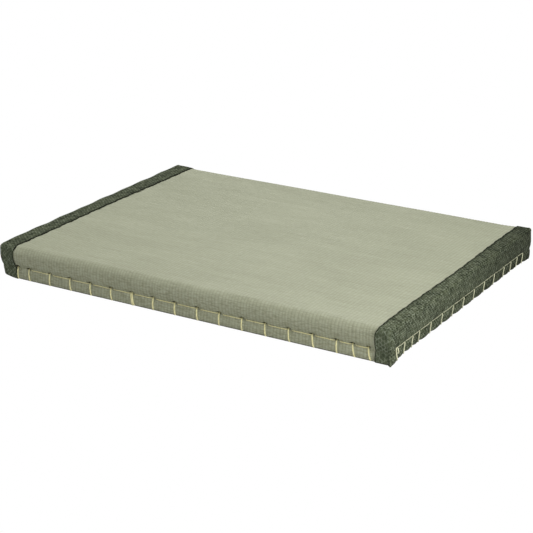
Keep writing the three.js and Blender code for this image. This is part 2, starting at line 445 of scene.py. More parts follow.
@dataclass
class Graph:
    """A node tree with short ways to add and wire nodes."""

    tree: NodeTree

    def add(self, kind: str, feeds: dict[str | int, object] | None = None,
            **settings: object) -> bpy_prop_collection:
        """Adds a node.

        Args:
            kind: the node's type.
            feeds: what each input takes, by its name or number.
            settings: the node's properties.

        Returns:
            The node's outputs.
        """
        node = self.tree.nodes.new(kind)
        for key, value in settings.items():
            setattr(node, key, value)
        self.feed(node.inputs, feeds or {})
        return node.outputs

    def feed(self, inputs: bpy_prop_collection, feeds: dict[str | int, object]) -> None:
        """Wires outputs to some inputs, or sets those to plain values."""
        for key, value in feeds.items():
            if isinstance(value, Socket):
                self.tree.links.new(value, inputs[key])
            else:
                inputs[key].default_value = value

    def math(self, operation: str, *values: object) -> Socket:
        """The result of one Math node."""
        return self.add("ShaderNodeMath", dict(enumerate(values)), operation=operation)[0]

    def times(self, first: object, second: object) -> Socket:
        """One value times another."""
        return self.math("MULTIPLY", first, second)

    def wave(self, value: object, rate: float) -> Socket:
        """The sine of a value times a rate."""
        return self.math("SINE", self.times(value, rate))

    def mix(self, share: object, first: object, second: object) -> Socket:
        """Two colours mixed by the share of the second."""
        return self.add("ShaderNodeMix", {0: share, 6: first, 7: second}, data_type="RGBA")[2]

    def spread(self, value: object, low: float, high: float, new_low: object, new_high: object,
               smooth: bool = False) -> Socket:
        """A value taken from one range to another."""
        feeds = dict(enumerate((value, low, high, new_low, new_high)))
        kind = "SMOOTHSTEP" if smooth else "LINEAR"
        return self.add("ShaderNodeMapRange", feeds, interpolation_type=kind)[0]

    def weigh(self, values: Iterable[Socket], weights: Iterable[float]) -> Socket:
        """The sum of some values, each times its weight."""
        total = 0.0
        for value, weight in zip(values, weights):
            total = self.math("MULTIPLY_ADD", value, weight, total)
        return total

    def stretched(self, place: Socket, scale: Triple) -> Socket:
        """Places scaled along each axis."""
        return self.add("ShaderNodeMapping", {"Scale": scale, "Vector": place})[0]

    def split(self, vector: Socket) -> bpy_prop_collection:
        """The three parts of a vector."""
        return self.add("ShaderNodeSeparateXYZ", {0: vector})

    def noise(self, place: Socket, scale: object, detail: float = 2.0) -> Socket:
        """Soft noise."""
        return self.add("ShaderNodeTexNoise", {"Vector": place, "Scale": scale, "Detail": detail})["Fac"]

    def staggered(self, along: Socket, row: Socket) -> Socket:
        """Places along some rows, with every second row moved by half a step."""
        return self.math("ADD", along, self.times(self.math("FLOORED_MODULO", row, 2.0), 0.5))

    def chance(self, across: Socket, along: Socket) -> Socket:
        """A random value from 0 to 1 for each cell of a pattern."""
        cell = self.add("ShaderNodeCombineXYZ", {0: self.math("FLOOR", across), 1: self.math("FLOOR", along)})
        return self.add("ShaderNodeTexWhiteNoise", {"Vector": cell[0]}, noise_dimensions="3D")["Value"]

    def places(self) -> tuple[Socket, Socket]:
        """Where a point lies on its piece's UV map, and in the piece's own space."""
        return (self.add("ShaderNodeUVMap", uv_map=CLOTH_MAP)[0],
                self.add("ShaderNodeTexCoord")["Object"])

    def mask(self, name: str) -> Socket:
        """A value that the piece carries at each point."""
        return self.add("ShaderNodeAttribute", attribute_name=name)["Fac"]

    def low_edge_shade(self, place: Socket, height: float) -> Socket:
        """How much painted shade a place gets on the lower edge that the mat stands on."""
        return self.spread(self.split(place)[2], height * FULLY_DARK, height, EDGE_SHADE, 0.0,
                           smooth=True)

    def group(self, tree: NodeTree, **feeds: object) -> bpy_prop_collection:
        """Places a node group, feeds its inputs by name and gives its outputs."""
        return self.add("ShaderNodeGroup", feeds, node_tree=tree)

    def dress(self, shader: Node, colour: Socket, rough: object, gloss: float, height: Socket,
              relief: float, strength: object = 1.0) -> None:
        """Feeds a shader its look.

        Args:
            shader: the Principled shader.
            colour: the base colour.
            rough: the roughness.
            gloss: how strongly it mirrors.
            height: the relief that is shown as shading alone, from 0 to 1.
            relief: how high that relief stands, in metres.
            strength: how strongly it shows.
        """
        bump = self.add("ShaderNodeBump", {"Strength": strength, "Distance": relief, "Height": height})
        self.feed(shader.inputs, {"Base Color": colour, "Roughness": rough, "Specular IOR Level": gloss,
                                  "Normal": bump[0]})


class ShaderGroup(Graph):
    """A shader node group that turns a vector and some numbers into other numbers."""

    def __init__(self, name: str, inputs: Sequence[str], outputs: Sequence[str]) -> None:
        """Starts the group.

        Args:
            name: the group's name.
            inputs: the names of the numbers that it takes.
            outputs: the names of the numbers that it gives.
        """
        super().__init__(bpy.data.node_groups.new(name, "ShaderNodeTree"))
        self.tree.interface.new_socket("Vector", in_out="INPUT", socket_type="NodeSocketVector")
        for way, names in (("INPUT", inputs), ("OUTPUT", outputs)):
            for key in names:
                self.tree.interface.new_socket(key, in_out=way, socket_type="NodeSocketFloat")
        self.taken = self.add("NodeGroupInput")

    def give(self, **values: Socket) -> NodeTree:
        """Feeds the group's outputs by name and gives its finished tree."""
        self.add("NodeGroupOutput", values)
        return self.tree


@dataclass
class Effects:
    """The shader node groups that the finishes share, with the measures of their patterns."""

    area_detail: float = 3.0
    ridge_power: float = 0.55
    strand_power: float = 0.6
    drift_scale: float = 160.0
    drift: float = 0.22
    row_step: float = 0.55
    arc_top: float = 0.75
    arc_bow: float = 2.4
    arc_rim: Pair = (0.06, 0.42)
    faintest_arc: float = 0.35
    arc_relief: float = 0.6

    def __post_init__(self) -> None:
        """Builds every group once."""
        self.mottling = self.build_mottling()
        self.rush_weave = self.build_rush_weave()
        self.cloth_weave = self.build_cloth_weave()
        self.twist = self.build_twist()

    def build_mottling(self) -> NodeTree:
        """Uneven light and dark areas with fine grain, for any finish."""
        group = ShaderGroup("Mottling", ("Scale", "Grain"), ("Areas", "Grain"))
        place = group.taken["Vector"]
        areas = group.noise(place, group.taken["Scale"], self.area_detail)
        grain = group.noise(place, group.taken["Grain"])
        return group.give(Areas=group.spread(areas, *NOISE_RANGE, 0.0, 1.0),
                          Grain=group.spread(grain, *NOISE_RANGE, 0.0, 1.0))

    def build_rush_weave(self) -> NodeTree:
        """Rushes woven over pairs of hidden cords: ridges along V with strands that cross them."""
        group = ShaderGroup("Rush weave", ("Ridge", "Strand"), ("Height", "Gap", "Strand"))
        x, y, _ = group.split(group.taken["Vector"])
        across = group.math("DIVIDE", x, group.taken["Ridge"])
        along = group.math("DIVIDE", y, group.taken["Strand"])
        along = group.staggered(along, group.math("FLOOR", across))
        rounds = [group.math("POWER", group.math("ABSOLUTE", group.wave(place, math.pi)), power)
                  for place, power in ((across, self.ridge_power), (along, self.strand_power))]
        height = group.times(*rounds)
        return group.give(Height=height, Gap=group.math("SUBTRACT", 1.0, height),
                          Strand=group.chance(across, along))

    def build_cloth_weave(self) -> NodeTree:
        """A fine plain weave with rows of small arcs woven into it, none quite like the next."""
        group = ShaderGroup("Cloth weave", ("Thread", "Motif"), ("Height", "Motif"))
        place, step = group.taken["Vector"], group.taken["Motif"]
        x, y, _ = group.split(place)
        waves = [group.wave(group.math("DIVIDE", way, group.taken["Thread"]), math.pi) for way in (x, y)]
        weave = group.spread(group.times(*waves), -1.0, 1.0, 0.0, 1.0)

        drift = group.spread(group.noise(place, self.drift_scale), *NOISE_RANGE, -self.drift, self.drift)
        down = group.math("ADD", group.math("DIVIDE", y, group.times(step, self.row_step)), drift)
        over = group.staggered(group.math("DIVIDE", x, step), group.math("FLOOR", down))
        aside = group.math("SUBTRACT", group.math("FRACT", over), 0.5)
        bow = group.times(self.arc_bow, group.math("POWER", aside, 2.0))
        arch = group.math("SUBTRACT", self.arc_top, bow)
        off_arch = group.math("ABSOLUTE", group.math("SUBTRACT", group.math("FRACT", down), arch))
        arc = group.spread(off_arch, *self.arc_rim, 1.0, 0.0, smooth=True)
        motif = group.times(arc, group.spread(group.chance(over, down), 0.0, 1.0, self.faintest_arc, 1.0))
        return group.give(Height=group.math("MULTIPLY_ADD", motif, self.arc_relief, weave), Motif=motif)

    def build_twist(self) -> NodeTree:
        """The slanting grooves of a twisted thread, on a map that runs round it and along it."""
        group = ShaderGroup("Twist", ("Plies",), ("Height",))
        round_it, along, _ = group.split(group.taken["Vector"])
        turns = group.math("MULTIPLY_ADD", round_it, group.taken["Plies"], along)
        return group.give(Height=group.spread(group.wave(turns, FULL_TURN), -1.0, 1.0, 0.0, 1.0))


def start_material(name: str) -> tuple[Material, Graph, Node]:
    """Starts a material with one Principled shader."""
    material = bpy.data.materials.new(name)
    material.use_nodes = True
    graph = Graph(material.node_tree)
    return material, graph, material.node_tree.nodes["Principled BSDF"]


def rgba(colour: Colour) -> tuple[float, float, float, float]:
    """A linear colour as a socket takes it."""
    return (*colour, 1.0)


@dataclass(frozen=True)
class RushFinish:
    """Dried rush: pale grey green and dull, its fine ridges clear on the flanks and faint on the top."""

    pale: Colour = (0.440, 0.457, 0.334)
    deep: Colour = (0.277, 0.290, 0.199)
    # colour of the painted shade in the weave's gaps, also used for the speckle
    gap: Colour = (0.150, 0.152, 0.074)
    # near-black painted shade, for the slits above the stitches and the lower edge
    hole: Colour = (0.012, 0.012, 0.007)
    ridge: float = 0.0062
    strand: float = 0.0016
    area_stretch: Triple = (0.25, 1.0, 1.0)
    area_scale: float = 22.0
    streak_stretch: Triple = (0.03, 1.0, 1.0)
    streak_scale: float = 90.0
    grain_scale: float = 420.0
    shade_weights: tuple[float, float, float, float] = (0.19, 0.36, 0.09, 0.36)
    flank_range: Pair = (0.1, 0.9)
    gap_shade: Pair = (0.36, 0.46)
    gap_by_strand: Pair = (0.55, 1.35)
    gap_by_area: Pair = (1.08, 0.88)
    grit: float = 0.38
    grit_range: Pair = (0.35, 0.85)
    edge_shade_height: float = 0.0030
    roughness: Pair = (0.54, 0.74)
    gloss: float = 0.3
    relief: float = 0.0004
    relief_strength: Pair = (0.3, 0.7)

    def build(self, effects: Effects) -> Material:
        """Makes the material."""
        material, graph, shader = start_material("Woven rush")
        place, where = graph.places()
        weave = graph.group(effects.rush_weave, Vector=place, Ridge=self.ridge, Strand=self.strand)
        mottle = graph.group(effects.mottling, Vector=graph.stretched(where, self.area_stretch),
                             Scale=self.area_scale, Grain=self.grain_scale)
        streaks = graph.group(effects.mottling, Vector=graph.stretched(place, self.streak_stretch),
                              Scale=self.streak_scale, Grain=self.grain_scale)
        shade = graph.weigh((mottle["Areas"], weave["Strand"], streaks["Areas"], streaks["Grain"]),
                            self.shade_weights)
        flank = graph.mask("flank")
        # Painted shade in the gaps of the weave, stronger on the flanks than on the top.
        dark = graph.times(graph.spread(weave["Gap"], 0.25, 1.0, 0.0, 1.0),
                           graph.spread(flank, *self.flank_range, *self.gap_shade, smooth=True))
        dark = graph.times(dark, graph.spread(weave["Strand"], 0.0, 1.0, *self.gap_by_strand))
        dark = graph.times(dark, graph.spread(mottle["Areas"], 0.2, 0.8, *self.gap_by_area))
        grit = graph.times(flank, graph.spread(mottle["Grain"], *self.grit_range, 0.0, self.grit))
        colour = graph.mix(shade, rgba(self.deep), rgba(self.pale))
        # These darken the colour: the painted gap shade, a fine dark speckle on the flanks, painted shade on
        # the lower edge and painted shade in the slits above the stitches.
        for share, darker in ((dark, self.gap), (grit, self.gap),
                              (graph.low_edge_shade(where, self.edge_shade_height), self.hole),
                              (graph.mask("hole"), self.hole)):
            colour = graph.mix(share, colour, rgba(darker))
        graph.dress(shader, colour, graph.spread(mottle["Grain"], 0.0, 1.0, *self.roughness), self.gloss,
                    weave["Height"], self.relief,
                    graph.spread(flank, *self.flank_range, *self.relief_strength, smooth=True))
        return material


@dataclass(frozen=True)
class BorderFinish:
    """Dark olive cotton with a small woven pattern of paler arcs, worn unevenly, with painted light and a
    painted bluish sheen on its turned bands and painted shade towards the back of the right strip.
    """

    ground: Colour = (0.018, 0.024, 0.012)
    worn: Colour = (0.082, 0.095, 0.053)
    motif: Colour = (0.222, 0.250, 0.176)
    untinted: Colour = (1.0, 1.0, 1.0)
    turned_sheen_tint: Colour = (1.0, 1.0, 1.07)
    # near-black painted shadow along the seam, also used for the painted shade on the lower edge and in the
    # corner creases
    seam: Colour = (0.010, 0.012, 0.007)
    thread: float = 0.0011
    pattern: float = 0.0075
    mottle_scales: Pair = (45.0, 520.0)
    blot_scales: Pair = (150.0, 380.0)
    shade_weights: tuple[float, float, float, float] = (0.3, 0.12, 0.38, 0.2)
    shade_reach: float = 0.19
    turned_calm: float = 0.5
    motif_strength: Pair = (0.35, 1.0)
    painted_light_scale: Pair = (0.4, 1.7)
    seam_shadow_width: float = 0.0040
    seam_shadow_core: float = 0.6
    seam_shadow_darkness: float = 0.95
    seam_shadow_on_flank: float = 2.6
    faintest_seam_shadow: float = 0.45
    crease_shade: float = 0.8
    edge_shade_height: float = 0.0022
    roughness: float = 0.86
    gloss: float = 0.08
    relief: float = 0.0004
    relief_strength: float = 0.8

    def build(self, effects: Effects) -> Material:
        """Makes the material."""
        material, graph, shader = start_material("Border cloth")
        place, where = graph.places()
        weave = graph.group(effects.cloth_weave, Vector=place, Thread=self.thread, Motif=self.pattern)
        mottle, blots = (graph.group(effects.mottling, Vector=where, Scale=areas, Grain=grain)
                         for areas, grain in (self.mottle_scales, self.blot_scales))
        turned = graph.mask("turned")
        calm = graph.spread(turned, 0.2, 0.9, 1.0, self.turned_calm)
        shade = graph.weigh((mottle["Areas"], mottle["Grain"], blots["Areas"], blots["Grain"]),
                            self.shade_weights)
        shade = graph.times(graph.math("SUBTRACT", shade, 0.5), calm)
        shade = graph.spread(shade, -self.shade_reach, self.shade_reach, 0.0, 1.0)
        strength = graph.times(graph.times(weave["Motif"], calm),
                               graph.spread(blots["Areas"], 0.2, 0.7, *self.motif_strength))
        colour = graph.mix(shade, rgba(self.ground), rgba(self.worn))
        colour = graph.mix(strength, colour, rgba(self.motif))
        # Painted light and shade: the turned bands lit brighter, and the right strip darker towards its back.
        painted_light_scale = graph.spread(graph.mask("wear"), 0.0, 1.0, *self.painted_light_scale)
        # Painted sheen: a bluer tint on the turned bands.
        sheen_tint = graph.mix(turned, rgba(self.untinted), rgba(self.turned_sheen_tint))
        for operation, key, factor in (("SCALE", "Scale", painted_light_scale), ("MULTIPLY", 1, sheen_tint)):
            colour = graph.add("ShaderNodeVectorMath", {0: colour, key: factor}, operation=operation)[0]

        # Painted shadow along the seam: narrower on the flanks and fainter in places.
        near = graph.spread(graph.mask("flank"), 0.3, 0.8, 1.0, self.seam_shadow_on_flank)
        seam_shadow = graph.spread(graph.times(graph.split(place)[1], near), self.seam_shadow_width * self.seam_shadow_core,
                               self.seam_shadow_width, self.seam_shadow_darkness, 0.0, smooth=True)
        seam_shadow = graph.times(seam_shadow, graph.spread(blots["Areas"], 0.2, 0.6, self.faintest_seam_shadow, 1.0))
        dark = graph.math("MAXIMUM", seam_shadow, graph.low_edge_shade(where, self.edge_shade_height))
        # Painted shade in the crease of each folded corner.
        dark = graph.math("MAXIMUM", dark, graph.times(graph.mask("crease"), self.crease_shade))
        graph.dress(shader, graph.mix(dark, colour, rgba(self.seam)), self.roughness, self.gloss,
                    weave["Height"], self.relief, self.relief_strength)
        return material


@dataclass(frozen=True)
class TwineFinish:
    """Straw-coloured twine, twisted from a few plies."""

    name: str
    pale: Colour
    deep: Colour
    plies: float = 2.0
    mottle_scales: Pair = (120.0, 900.0)
    shade_weights: Pair = (0.6, 0.4)
    roughness: float = 0.7
    gloss: float = 0.5
    relief: float = 0.0004

    def build(self, effects: Effects) -> Material:
        """Makes the material."""
        material, graph, shader = start_material(self.name)
        place, where = graph.places()
        height = graph.group(effects.twist, Vector=place, Plies=self.plies)["Height"]
        areas, grain = self.mottle_scales
        mottle = graph.group(effects.mottling, Vector=where, Scale=areas, Grain=grain)
        # Darker in the twist's grooves: painted shade; the mottling is the twine's own tone.
        shade = graph.weigh((height, mottle["Areas"]), self.shade_weights)
        graph.dress(shader, graph.mix(shade, rgba(self.deep), rgba(self.pale)), self.roughness, self.gloss,
                    height, self.relief)
        return material


@dataclass
class MatParts:
    """What every piece of the mat is worked out from."""

    form: MatForm = field(default_factory=MatForm)
    rush_form: MatForm = field(default_factory=lambda: MatForm(corner_rounding=0.008))
    side_row: StitchRow = StitchRow(-0.3605, (0.025, 0.0475), 0.0452, 13, (0.0295, 0.0285))
    end_row: StitchRow = StitchRow(-0.263, (0.031, 0.0295, 0.025), 0.044, 8, (0.032, 0.029, 0.024))
    cloth: float = 0.0012
    cloth_gap: float = 0.0003
    dent_depth: float = 0.0022
    dent_width: float = 0.007
    dent_height: float = 0.006
    pucker_depth: float = 0.0018
    pucker_height: float = 0.014
    pucker_fade: float = 0.030
    corner_flares: Pair = (0.0075, 0.0032)
    flare_reach: float = 0.034
    flare_turn: float = 0.0068

    def dent(self, along: Array, height: Array) -> Array:
        """How far a stitch pulls the rush in at places of the front or back side."""
        near = near_any(along, self.side_row.places(), self.dent_width)
        return self.dent_depth * near * bell(height - self.form.sewing_height, self.dent_height)

    def flare(self, along: Array, height: Array) -> Array:
        """How far the right end's cloth stands out near the floor at its front and back corner."""
        form = self.form
        front = self.corner_flares[0] * bell(along + form.half[1], self.flare_reach)
        back = self.corner_flares[1] * bell(along - form.half[1], self.flare_reach)
        return (front * (1 - ease(height, 0.0, form.sewing_height))
                + back * (1 - ease(height, form.sewing_height / 2, form.shoulder)))

    def pucker(self, along: Array, height: Array) -> Array:
        """How far the border cloth stands out between its stitches at places of an end."""
        between = 1 - near_any(along, self.end_row.places(), self.dent_width * 2)
        from_corner = ease(self.form.half[1] - np.abs(along), self.form.corner_rounding, self.pucker_fade)
        low = bell(height - self.form.sewing_height / 2, self.pucker_height)
        return self.pucker_depth * between * from_corner * low

    def side_surface(self, along: Array, height: Array, side: Side, lift: Array) -> Array:
        """Points on the rush cover's front or back side, or on the border cloth's end.

        Args:
            along: the places along the side.
            height: their heights, below the shoulder.
            side: the side.
            lift: how far the points stand off that surface.

        Returns:
            The points, one to a row.
        """
        if side.axis == 1:
            relief = -self.dent(along, height)
        else:
            relief = self.cloth_gap + self.cloth + self.pucker(along, height)
        if side is Side.RIGHT:
            relief = relief + self.flare(along, height)
        points = np.empty((len(along), 3))
        points[:, side.axis] = side.sign * (self.form.wall(height, side) + relief + lift)
        points[:, 1 - side.axis] = along
        points[:, 2] = height
        return points


def edge_lines(half: float, width: float, shares: Sequence[float]) -> Array:
    """Lines across the rounding of an edge, from the flat to the outermost line."""
    return half - np.asarray(shares) * width


def tidy_lines(*parts: Sequence[float]) -> Array:
    """Sorted lines with none closer to its neighbour than a least step."""
    lines = np.sort(np.concatenate(parts))
    kept = np.concatenate([[True], np.diff(lines) > LEAST_STEP])
    kept[-1] = True
    return lines[kept]


@dataclass
class RushCover:
    """The rush cover over the stuffed core: one filled body, woven in ridges that run from front to back."""

    parts: MatParts
    ridge_pitch: float = 0.0062
    ridge_height: float = 0.00028
    ridge_wander: float = 0.0009
    wander_lengths: tuple[Pair, ...] = ((0.083, 0.21), (0.037, -0.13))
    quick_wander: Pair = (0.6, 1.0)
    column_step: float = 0.00155
    stitch_reach: float = 0.0063
    stitch_lines: int = 15
    rounding_shares: tuple[float, ...] = (1, 0.88, 0.76, 0.64, 0.52, 0.4, 0.28, 0.16, 0.07, 0)
    low_heights: tuple[float, ...] = (0, 0.0012, 0.0035, 0.007, 0.0105, 0.014, 0.0168)
    high_heights: tuple[float, ...] = (0.0285, 0.032, 0.036, 0.040)
    rise_shares: tuple[float, ...] = (0, 0.17, 0.34, 0.5, 0.62, 0.7, 0.78, 0.86, 0.93, 1.0)
    sewn_step: float = 0.0007
    sewn_steps: tuple[int, int] = (-4, 8)
    top_step: float = 0.045
    slit_width: float = 0.0040
    slit_height: float = 0.0015
    slit_depth: float = 0.0042
    slit_rise: float = 0.0015
    slit_shift: float = -0.0024
    slit_shade_share: Pair = (5 / 24, 15 / 24)
    slit_shade_facing: float = 0.8
    turn_under: float = 0.0012
    sag: float = 0.0004
    sag_rates: Pair = (21.0, 17.0)
    sag_shifts: Pair = (0.6, 1.1)

    def lines(self) -> Lines:
        """The lines that the cover's block is cut along, for X, Y and Z."""
        form = self.parts.rush_form
        plain = np.linspace(-form.half[0], form.half[0], int(form.length / self.column_step))
        stitches = self.parts.side_row.places()
        near = np.linspace(-self.stitch_reach, self.stitch_reach, self.stitch_lines)
        far = np.min(np.abs(plain[:, None] - stitches), axis=1) > self.stitch_reach
        x_lines = tidy_lines(plain[far], (stitches[:, None] + near).ravel())
        rounding = edge_lines(form.half[1], form.top_rounding[1], self.rounding_shares)
        flat = rounding[0]
        across = np.linspace(-flat, flat, int(2 * flat / self.top_step))
        y_lines = tidy_lines(-rounding, rounding, across)
        sewn = form.sewing_height + np.arange(*self.sewn_steps) * self.sewn_step
        rise = form.shoulder + form.top_rounding[2] * np.array(self.rise_shares)
        return x_lines, y_lines, tidy_lines(self.low_heights, sewn, self.high_heights, rise)

    def ridge_place(self, block: Array) -> Array:
        """Where each point lies across the ridges, which don't run quite straight."""
        slow, quick = (FULL_TURN * (block[:, 0] / x + block[:, 1] / y) for x, y in self.wander_lengths)
        share, shift = self.quick_wander
        return block[:, 0] + self.ridge_wander * (np.sin(slow) + share * np.sin(quick + shift))

    def slit(self, along: Array, height: Array) -> Array:
        """How deep each place lies in one of the slits above the stitches, from 0 to 1."""
        near = near_any(along - self.slit_shift, self.parts.side_row.places(), self.slit_width)
        return near * bell(height - self.parts.form.sewing_height - self.slit_rise, self.slit_height)

    def map_cloth(self, mesh: Mesh, block: Array, lines: Lines) -> None:
        """Gives the cover its map: U along X, V round the section from the middle of the top."""
        form = self.parts.rush_form
        across, up = lines[1][lines[1] >= 0], lines[2][::-1]
        top = np.column_stack([np.zeros_like(across), across, np.full_like(across, form.thickness)])
        side = np.column_stack([np.zeros_like(up), np.full_like(up, form.half[1]), up])
        over, down = (path_lengths(form.place(run, 0.0)[0]) for run in (top, side))
        over += across[0]

        corners, ways = read_corners(mesh, block)
        y, z = corners[:, 1], corners[:, 2]
        on_side = np.abs(ways[:, 1]) > MOSTLY
        v = np.where(on_side, over[-1] + np.interp(-z, -up, down), np.interp(np.abs(y), across, over))
        drop = np.where(np.abs(ways[:, 0]) > MOSTLY, form.thickness - z, 0.0)
        write_uv(mesh, np.column_stack([self.ridge_place(corners) + drop, np.sign(y) * v]))

    def build(self, material: Material) -> Object:
        """Builds the cover and dresses it.

        Args:
            material: the rush finish.

        Returns:
            The finished piece.
        """
        lines = self.lines()
        piece = cut_block("rush_cover", lines)
        mesh = piece.data
        block = read_points(mesh)
        self.map_cloth(mesh, block, lines)
        points, facing, _ = self.parts.rush_form.place(block, 0.0)
        under = block[:, 2] <= 0
        ridge = -0.5 * np.cos(FULL_TURN * self.ridge_place(block) / self.ridge_pitch)
        outward = np.where(under, 0.0, self.ridge_height * ridge)
        sag = np.prod(np.sin(points[:, :2] * self.sag_rates + self.sag_shifts), axis=1)
        outward += self.sag * sag * np.maximum(facing[:, 2], 0)
        points += facing * outward[:, None]

        dent = self.parts.dent(points[:, 0], points[:, 2])
        slit = self.slit(points[:, 0], points[:, 2])
        points[:, 1] -= facing[:, 1] * (dent + self.slit_depth * slit)
        points[under] -= facing[under] * self.turn_under
        points[under, 2] = 0.0
        self.parts.rush_form.lift_corners(points)
        write_points(mesh, points)
        # This mask paints shade into the slits above the stitches, on the front and back faces.
        low, high = self.slit_shade_share
        hole = np.clip((slit - low) / (high - low), 0, 1) * (np.abs(facing[:, 1]) > self.slit_shade_facing)
        write_masks(mesh, hole=hole, flank=1 - np.maximum(facing[:, 2], 0))
        mesh.materials.append(material)
        shade_by_angle(piece, SHARP_EDGE)
        return piece


@dataclass
class BorderCloth:
    """One border cloth: a strip over the top, down the end and round both corners."""

    parts: MatParts
    side: Side
    width: float
    widening: float
    bands: tuple[Pair, Pair]
    wear: Pair = (0.37, 0.37)
    wear_reach: Pair = (0.3, 1.0)
    turned_wear: float = 0.77
    edge_wave: float = 0.0007
    edge_wave_share: float = 0.6
    edge_waves: Waves = Waves((FULL_TURN / 0.067, FULL_TURN / 0.113), 0.7, 0.8)
    seam_wave: float = 0.0012
    seam_wave_length: float = 0.400
    seam_ripple: float = 0.0005
    seam_ripples: Waves = Waves((143.0, 347.0), 0.6, 1.3)
    band_start: Pair = (0.0, 0.2)
    band_turn: Pair = (0.35, 1.0)
    hem_rest: float = 0.0006
    hem_rise: float = 0.0020
    hem_rise_width: float = 0.008
    fold_rise: float = 0.0007
    crease_depth: float = 0.0013
    crease_width: float = 0.24
    hem_bevel: float = 0.0004
    sharp_edge: float = 50.0
    flare_facing: float = 0.6
    step: float = 0.0030
    flat_lines: int = 11
    wall_lines: int = 22
    rounding_shares: tuple[float, ...] = (1, 0.85, 0.7, 0.58, 0.46, 0.35, 0.27, 0.19, 0.12, 0.07, 0.03, 0)
    rise_shares: tuple[float, ...] = (0.15, 0.3, 0.45, 0.6, 0.67, 0.73, 0.79, 0.85, 0.9, 0.95, 1.0)

    @property
    def inner(self) -> float:
        """The plain place of the seam."""
        return self.parts.form.half[0] - self.width + self.parts.cloth + self.parts.cloth_gap

    def lines(self) -> Lines:
        """The lines that the cloth's block is cut along, for X, Y and Z."""
        form = self.parts.form
        across = edge_lines(form.half[0], form.top_rounding[0], self.rounding_shares)
        flat = np.linspace(self.inner, across[0], self.flat_lines)
        x_lines = tidy_lines(flat, across)
        if self.side.sign < 0:
            x_lines = -x_lines[::-1]
        rounding = edge_lines(form.half[1], form.top_rounding[1], self.rounding_shares)
        along = np.linspace(-rounding[0], rounding[0], int(2 * rounding[0] / self.step))
        y_lines = tidy_lines(-rounding, rounding, along)
        rise = form.shoulder + form.top_rounding[2] * np.array(self.rise_shares)
        wall = np.linspace(0, form.shoulder, self.wall_lines)
        return x_lines, y_lines, tidy_lines(wall, rise)

    def trim(self, piece: Object) -> None:
        """Opens the cloth towards the mat and underneath."""
        ways = face_ways(piece.data)
        with editing(piece, "FACE", (ways[:, 0] * self.side.sign < -MOSTLY) | (ways[:, 2] < -MOSTLY)):
            bpy.ops.mesh.delete(type="FACE")

    def map_cloth(self, mesh: Mesh, block: Array) -> None:
        """Gives the cloth its map: U along the strip, V from the seam over the edge to the hem."""
        corners, ways = read_corners(mesh, block)
        drop = self.parts.form.thickness - corners[:, 2]
        down_side, down_end = (np.where(np.abs(ways[:, axis]) > MOSTLY, drop, 0.0) for axis in (1, 0))
        u = corners[:, 1] + np.sign(corners[:, 1]) * down_side
        write_uv(mesh, np.column_stack([u, np.abs(corners[:, 0]) - self.inner + down_end]))

    def shift_seam(self, block: Array) -> Array:
        """How far the seam wanders from its plain place, along the mat and down its front and back."""
        form, along = self.parts.form, block[:, 1]
        wave = -self.seam_wave * np.cos(FULL_TURN * along / self.seam_wave_length)
        on_side = np.abs(along) > form.half[1] - AT_WALL
        drop = np.where(on_side, 1 - block[:, 2] / form.thickness, 0.0)
        fold, hem = (np.where(along < 0, *values) for values in zip(*self.bands))
        band = (fold + (hem - fold) * ease(drop, *self.band_turn)) * ease(drop, *self.band_start)
        taper = self.widening * (along / form.depth + 0.5)
        return taper + wave + self.seam_ripple * self.seam_ripples.read(along) + band

    def form_cloth(self, block: Array) -> tuple[Array, Array, Array]:
        """Lays the cloth's inner face on the mat, with its puckers, folded corners and raised hem.

        Args:
            block: the points of the plain block.

        Returns:
            The formed points, the way that each faces, and how much it lies in the crease of a folded corner.
        """
        form, parts = self.parts.form, self.parts
        placed = block.copy()
        reach = np.clip((form.half[0] - np.abs(block[:, 0])) / (form.half[0] - self.inner), 0, 1)
        placed[:, 0] -= self.side.sign * self.shift_seam(block) * reach
        at_hem = block[:, 2] <= 0
        on_end = np.abs(block[:, 0]) > form.half[0] - AT_WALL
        near = near_any(block[:, 1], parts.end_row.places(), self.hem_rise_width)
        placed[at_hem, 2] = (self.hem_rest + self.hem_rise * near * on_end)[at_hem]
        points, facing, rise = form.place(placed, parts.cloth_gap)

        sideways = np.abs(facing[:, :2])
        square = np.abs(sideways[:, 0] - sideways[:, 1])
        at_corner = (np.prod(sideways, axis=1) > 0) * (1 - rise)
        crease = bell(square, self.crease_width)
        fold = self.fold_rise * 4 * square * (1 - square) - self.crease_depth * crease
        points[:, :2] += facing[:, :2] * (fold * at_corner)[:, None]
        points[:, 0] += facing[:, 0] * parts.pucker(placed[:, 1], points[:, 2])
        over_edge = 4 * facing[:, 2] * sideways[:, 0] * np.clip(facing[:, 2] + sideways[:, 0], 0, 1)
        wave = self.edge_wave * (1 + self.edge_wave_share * self.edge_waves.read(block[:, 1]))
        points += facing * (wave * np.clip(over_edge, 0, 1))[:, None]
        if self.side is Side.RIGHT:
            flare = parts.flare(points[:, 1], points[:, 2]) * (facing[:, 0] > self.flare_facing)
            points[:, 1] -= bell(points[:, 1] + form.half[1], parts.flare_turn) * flare
            points[:, 0] += flare
        form.lift_corners(points)
        return points, facing, crease * at_corner

    def build(self, material: Material) -> Object:
        """Builds the cloth and dresses it.

        Args:
            material: the border finish.

        Returns:
            The finished piece.
        """
        piece = cut_block(f"border_cloth_{self.side.name.lower()}", self.lines())
        self.trim(piece)
        mesh = piece.data
        block = read_points(mesh)
        self.map_cloth(mesh, block)
        points, facing, crease = self.form_cloth(block)
        write_points(mesh, points)
        turned = np.abs(facing[:, 1])
        along = np.clip(block[:, 1] / self.parts.form.depth + 0.5, 0, 1)
